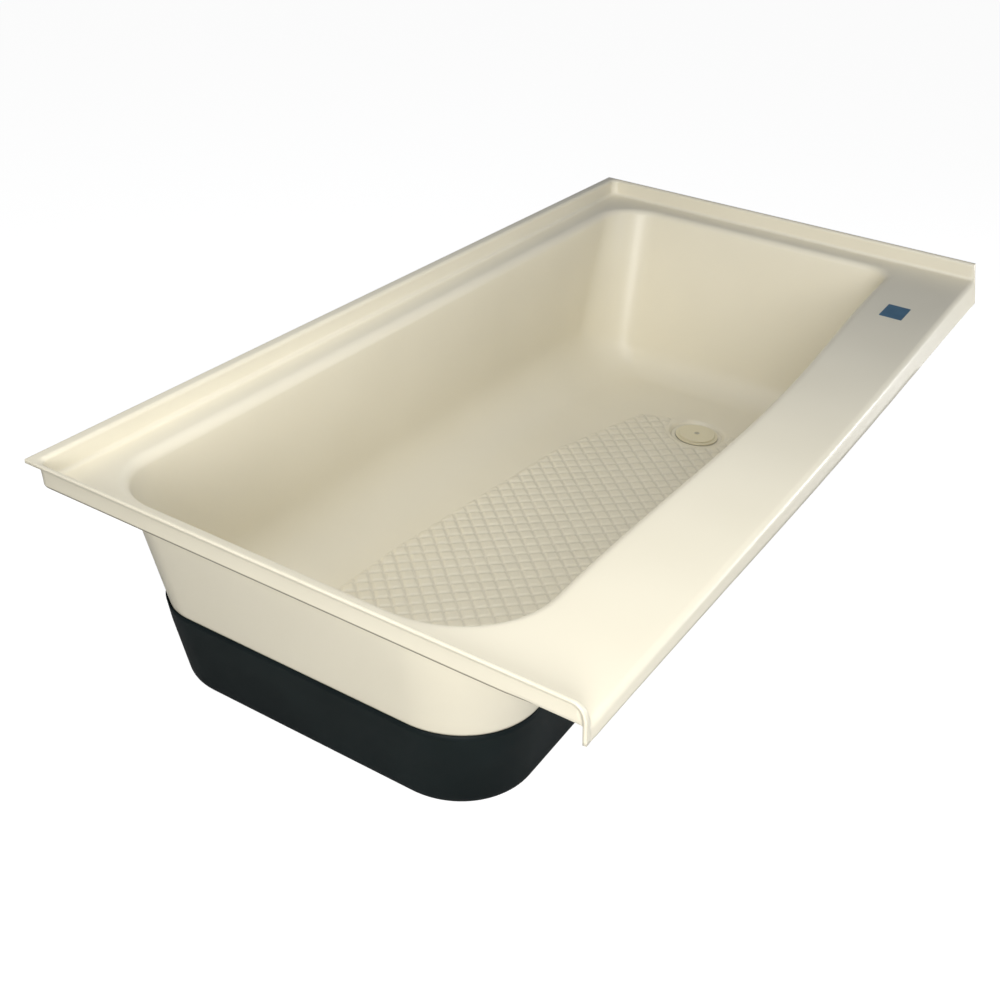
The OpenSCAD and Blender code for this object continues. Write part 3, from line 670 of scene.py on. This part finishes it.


# painted shade: a dark tone mixed into the colour on the faces that look down
def addUndersideShade(nodes, links, shader, colour):
    place, axes = nodes.new("ShaderNodeNewGeometry"), nodes.new("ShaderNodeSeparateXYZ")
    downward, mix = nodes.new("ShaderNodeMapRange"), nodes.new("ShaderNodeMix")
    downward.inputs["From Min"].default_value = -0.08
    downward.inputs["From Max"].default_value = -0.35
    mix.data_type = "RGBA"
    mix.inputs["B"].default_value = (*colour, 1)
    links.new(place.outputs["Normal"], axes.inputs["Vector"])
    links.new(axes.outputs["Z"], downward.inputs["Value"])
    links.new(downward.outputs["Result"], mix.inputs["Factor"])
    links.new(shader.inputs["Base Color"].links[0].from_socket, mix.inputs["A"])
    links.new(mix.outputs["Result"], shader.inputs["Base Color"])


def creamAcrylic(name="creamAcrylic", undersideShade=False):
    mat, nodes, links, shader = newMaterial(name, (0.80, 0.745, 0.592), 0.36)
    addWave(nodes, links, shader, {"Coarse Scale": 7.0, "Fine Scale": 900.0, "Fine Height": 0.02},
            0.25, 0.002, (0.788, 0.733, 0.580), (0.808, 0.753, 0.600))
    # painted shade in the creases of the shell, its floor tiles and the lip's heel
    addPaintedCreaseShade(nodes, links, shader, 0.007, 0.45)
    # painted shade on the faces that look down
    if undersideShade:
        addUndersideShade(nodes, links, shader, (0.20, 0.17, 0.11))
    return mat


def blackPan():
    mat, nodes, links, shader = newMaterial("blackPan", (0.005, 0.010, 0.010), 0.55)
    addWave(nodes, links, shader, {"Coarse Scale": 16.0, "Fine Scale": 700.0, "Fine Height": 0.08},
            0.3, 0.001, (0.004, 0.008, 0.008), (0.006, 0.011, 0.011))
    shader.inputs["Specular IOR Level"].default_value = 0.14
    return mat


# layers seen on the board's edges and long grain on its faces
def plywood():
    mat, nodes, links, shader = newMaterial("plywood", (0.48, 0.30, 0.14), 0.62)
    place, stretch = nodes.new("ShaderNodeTexCoord"), nodes.new("ShaderNodeMapping")
    grain = nodes.new("ShaderNodeTexNoise")
    stretch.inputs["Scale"].default_value = (3.0, 40.0, 600.0)
    grain.inputs["Scale"].default_value = 2.0
    grain.inputs["Detail"].default_value = 6.0
    grain.inputs["Distortion"].default_value = 0.6
    links.new(place.outputs["Object"], stretch.inputs["Vector"])
    links.new(stretch.outputs["Vector"], grain.inputs["Vector"])
    addRamp(nodes, links, grain.outputs["Fac"],
            [(0.32, (0.30, 0.17, 0.075)), (0.5, (0.46, 0.29, 0.135)), (0.68, (0.56, 0.38, 0.20))],
            shader.inputs["Base Color"])
    addBump(nodes, links, shader, grain.outputs["Fac"], 0.25, 0.0006)
    return mat


# beads pressed together
def beadFoam():
    mat, nodes, links, shader = newMaterial("beadFoam", (0.78, 0.78, 0.74), 0.85)
    place, beads = nodes.new("ShaderNodeTexCoord"), nodes.new("ShaderNodeTexVoronoi")
    beads.inputs["Scale"].default_value = 260.0
    links.new(place.outputs["Object"], beads.inputs["Vector"])
    addRamp(nodes, links, beads.outputs["Distance"],
            [(0.0, (0.82, 0.82, 0.79)), (0.7, (0.66, 0.66, 0.62))], shader.inputs["Base Color"])
    addBump(nodes, links, shader, beads.outputs["Distance"], 0.5, 0.0008, invert=True)
    return mat


# fine rings round the drain's axis, as a lathe leaves them
def turned(name, dark, light, roughness):
    mat, nodes, links, shader = newMaterial(name, light, roughness)
    shader.inputs["Metallic"].default_value = 1.0
    place, centre = nodes.new("ShaderNodeTexCoord"), nodes.new("ShaderNodeMapping")
    rings = nodes.new("ShaderNodeTexWave")
    centre.inputs["Location"].default_value = (-drainSpot.x, -drainSpot.y, 0)
    rings.wave_type = "RINGS"
    rings.rings_direction = "Z"
    rings.inputs["Scale"].default_value = 900.0
    rings.inputs["Distortion"].default_value = 1.5
    links.new(place.outputs["Object"], centre.inputs["Vector"])
    links.new(centre.outputs["Vector"], rings.inputs["Vector"])
    addRamp(nodes, links, rings.outputs["Fac"], [(0.0, dark), (1.0, light)], shader.inputs["Base Color"])
    addBump(nodes, links, shader, rings.outputs["Fac"], 0.15, 0.0002)
    return mat


def grained(name, dark, light, roughness, grain, strength=0.25):
    mat, nodes, links, shader = newMaterial(name, light, roughness)
    addWave(nodes, links, shader, {"Coarse Scale": 40.0, "Fine Scale": grain, "Fine Height": 0.5},
            strength, 0.0005, dark, light)
    return mat


finishes = {
    "shell": creamAcrylic(),
    "pan": blackPan(),
    "plywood": plywood(),
    "foam": beadFoam(),
    "label": grained("label", (0.046, 0.112, 0.172), (0.058, 0.138, 0.208), 0.45, 600.0),
    "waste": grained("wastePlastic", (0.76, 0.695, 0.495), (0.78, 0.715, 0.515), 0.4, 900.0, 0.15),
    "rubber": grained("rubber", (0.016, 0.016, 0.016), (0.026, 0.026, 0.025), 0.7, 500.0),
    "paleRubber": grained("paleRubber", (0.52, 0.48, 0.37), (0.58, 0.54, 0.42), 0.6, 500.0),
    "fibre": grained("fibre", (0.19, 0.115, 0.06), (0.31, 0.20, 0.11), 0.85, 350.0, 0.6),
    "brass": turned("brass", (0.58, 0.40, 0.15), (0.76, 0.55, 0.23), 0.3),
    "steel": turned("steel", (0.46, 0.44, 0.39), (0.62, 0.60, 0.53), 0.32),
}
nodeFinish = {
    "tub_shell": "shell", "base_pan": "pan", "floor_board": "plywood", "bedding_pad": "foam",
    "ledge_stiffener": "plywood", "size_label": "label", "waste_body": "waste",
    "flange_gasket": "paleRubber", "shell_washer": "rubber", "friction_ring": "fibre",
    "waste_locknut": "waste", "latch_barrel": "brass", "latch_spring": "steel",
    "latch_spindle": "brass", "stopper_cap": "waste", "stopper_seal": "rubber", "cap_screw": "steel",
}
for nodeName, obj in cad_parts.items():
    obj.data.materials.clear()
    obj.data.materials.append(finishes[nodeFinish[nodeName]])
print("materials done")

makeShell(finishes["shell"])
# the heel's material has painted shade on its faces that look down
makeHeel(creamAcrylic("creamAcrylicUnderShade", True))
makeTiles(finishes["shell"])
print("shell done")
makePan(finishes["pan"])
print("pan done")


# floor, light and camera
studio = {
    "floorReach": 12.0, "floorTone": 0.58,
    "floorShade": 0.25, "floorGlow": 0.94,  # what the camera sees: the tub's soft shadow on white
    "ambient": 0.085, "mirrored": (0.12, 0.16, 0.25), "lampSize": 0.8,
    # place, aim, power and colour of each soft lamp
    "lamps": {
        "keyLight": ((-2.0, -1.0, 0.9), (-0.3, 0.0, 0.2), 22.0, (1, 1, 1)),
        "overLight": ((-0.9, 0.0, 1.3), (0.1, 0.0, 0.1), 6.6, (1, 1, 1)),
        "nearLight": ((-0.5, -0.6, 1.2), (-0.4, -0.2, 0.3), 4.7, (1, 1, 1)),
        "topLight": ((0.0, 0.0, 2.4), (0.0, 0.0, 0.0), 6.3, (0.92, 0.97, 1.08)),
        "lowLight": ((-2.0, -1.0, 0.5), (-0.6, 0.0, 0.2), 5.0, (1, 1, 1)),
        "frontLight": ((0.2, -2.4, 0.75), (0.1, 0.0, 0.25), 4.0, (0.80, 0.93, 1.25)),
        "apronLight": ((1.2, -1.2, 0.12), (0.6, -0.3, 0.28), 12.6, (1, 1, 1)),
    },
}


def makeFloor():
    bm = bmesh.new()
    bmesh.ops.create_grid(bm, x_segments=1, y_segments=1, size=studio["floorReach"])
    mesh = bpy.data.meshes.new("floor")
    bm.to_mesh(mesh)
    bm.free()
    floor = bpy.data.objects.new("floor", mesh)
    bpy.context.scene.collection.objects.link(floor)
    mat, nodes, links, shader = newMaterial("floorWhite", [studio["floorTone"]] * 3, 0.9)
    mesh.materials.append(mat)
    shade, glow = nodes.new("ShaderNodeBsdfDiffuse"), nodes.new("ShaderNodeEmission")
    both, mix = nodes.new("ShaderNodeAddShader"), nodes.new("ShaderNodeMixShader")
    ray = nodes.new("ShaderNodeLightPath")
    shade.inputs["Color"].default_value = (*[studio["floorShade"]] * 3, 1)
    glow.inputs["Strength"].default_value = studio["floorGlow"]
    links.new(shade.outputs[0], both.inputs[0])
    links.new(glow.outputs[0], both.inputs[1])
    links.new(ray.outputs["Is Camera Ray"], mix.inputs["Fac"])
    links.new(shader.outputs[0], mix.inputs[1])
    links.new(both.outputs[0], mix.inputs[2])
    links.new(mix.outputs[0], nodes["Material Output"].inputs["Surface"])


# glossy surfaces mirror a dim cool room, and the camera sees plain white
def makeWorld():
    world = bpy.data.worlds.new("studio")
    bpy.context.scene.world = world
    world.use_nodes = True
    nodes, links = world.node_tree.nodes, world.node_tree.links
    back = nodes["Background"]
    back.inputs["Color"].default_value = (1, 1, 1, 1)
    back.inputs["Strength"].default_value = studio["ambient"]
    ray, seen = nodes.new("ShaderNodeLightPath"), back
    for kind, colour in (("Is Glossy Ray", studio["mirrored"]), ("Is Camera Ray", (1, 1, 1))):
        room, mix = nodes.new("ShaderNodeBackground"), nodes.new("ShaderNodeMixShader")
        room.inputs["Color"].default_value = (*colour, 1)
        room.inputs["Strength"].default_value = 1.0
        links.new(ray.outputs[kind], mix.inputs["Fac"])
        links.new(seen.outputs[0], mix.inputs[1])
        links.new(room.outputs[0], mix.inputs[2])
        seen = mix
    links.new(seen.outputs[0], nodes["World Output"].inputs["Surface"])


def addLamp(name, place, aim, power, colour):
    data = bpy.data.lights.new(name, "AREA")
    data.shape = "DISK"
    data.size = studio["lampSize"]
    data.energy = power
    data.color = colour
    lamp = bpy.data.objects.new(name, data)
    lamp.location = place
    lamp.rotation_mode = "QUATERNION"
    lamp.rotation_quaternion = (Vector(aim) - Vector(place)).to_track_quat("-Z", "Y")
    bpy.context.scene.collection.objects.link(lamp)


# the photo's view
photoView = {
    "place": (-1.4330, -0.6564, 1.0162),
    "azimuth": -60.647, "elevation": 31.17, "roll": 4.254,
    "lens": 44.88, "sensor": 36.0,
}


def makeCamera():
    azimuth, elevation, roll = [radians(photoView[name]) for name in ("azimuth", "elevation", "roll")]
    back = Vector((sin(azimuth) * cos(elevation), -cos(azimuth) * cos(elevation), sin(elevation)))
    level = Vector((cos(azimuth), sin(azimuth), 0))
    up = back.cross(level)
    right = cos(roll) * level + sin(roll) * up
    top = -sin(roll) * level + cos(roll) * up
    turn = Matrix((right, top, back)).transposed().to_4x4()
    data = bpy.data.cameras.new("photoCamera")
    data.lens = photoView["lens"]
    data.sensor_width = photoView["sensor"]
    camera = bpy.data.objects.new("photoCamera", data)
    camera.matrix_world = Matrix.Translation(photoView["place"]) @ turn
    bpy.context.scene.collection.objects.link(camera)
    bpy.context.scene.camera = camera


makeFloor()
makeWorld()
for name, values in studio["lamps"].items():
    addLamp(name, *values)
makeCamera()
bpy.context.scene.view_settings.view_transform = "Standard"
print("studio done")
